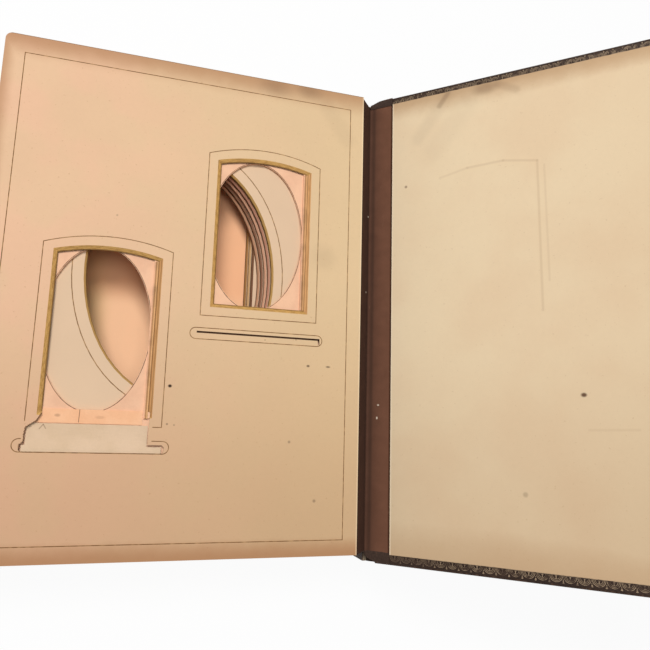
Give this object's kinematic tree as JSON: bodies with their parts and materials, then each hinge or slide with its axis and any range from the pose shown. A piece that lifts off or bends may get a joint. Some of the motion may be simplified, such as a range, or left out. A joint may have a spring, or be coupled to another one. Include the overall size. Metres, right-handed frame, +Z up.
{
  "type": "photo album",
  "caption": "Old leather-bound photo album with thick windowed card leaves, open at its last leaf with the back cover raised.",
  "frame": {"origin": "under the middle of the leaves, on the outer face of the front cover, which the album lies on", "axes": "+X from the fore edge to the spine, +Y from tail to head, +Z up through the leaves"},
  "size_m": [0.3713, 0.274, 0.1904],
  "materials": {
    "page_paper": "aged cream paper with a fine linen grain, browned at the edges",
    "leaf_card": "aged cream card with gilt edges and window bevels",
    "pink_card": "pinkish raw card, matt",
    "guard_card": "brown cloth-covered card stubs",
    "board": "grey-brown millboard",
    "leather": "dark brown grained leather, rubbed at the edges",
    "hinge_cloth": "brown book cloth, matt"
  },
  "bodies": {
    "book_block": {"closed_leaves": "leaf_card", "open_leaf_face": "page_paper", "open_leaf_frame": "pink_card", "open_leaf_under": "pink_card", "upper_pocket_strip": "pink_card", "lower_pocket_strip": "pink_card", "upper_pocket_tongue": "page_paper", "lower_pocket_tongue": "page_paper", "guards": "guard_card", "spine_lining": "guard_card", "spine_card": "board", "spine_leather": "leather", "back_joint_leather": "leather", "front_joint_leather": "leather", "back_hinge_cloth": "hinge_cloth", "front_hinge_cloth": "hinge_cloth"},
    "back_cover": {"back_cover_board": "board", "back_cover_leather": "leather", "back_cover_lining": "page_paper"},
    "front_cover": {"front_cover_board": "board", "front_cover_leather": "leather", "front_cover_lining": "page_paper"}
  },
  "joints": [
    {"name": "back_cover_hinge", "type": "hinge", "parent": "book_block", "child": "back_cover", "pos_m": [0.10707, 0, 0.0478], "axis": [0, -1, 0], "range_deg": [-43.7, 136.26], "deforming": ["back_joint_leather", "back_hinge_cloth"]},
    {"name": "front_cover_hinge", "type": "hinge", "parent": "book_block", "child": "front_cover", "pos_m": [0.10707, 0, 0.0105], "axis": [0, -1, 0], "range_deg": [0, 180], "deforming": ["front_joint_leather", "front_hinge_cloth"]}
  ]
}
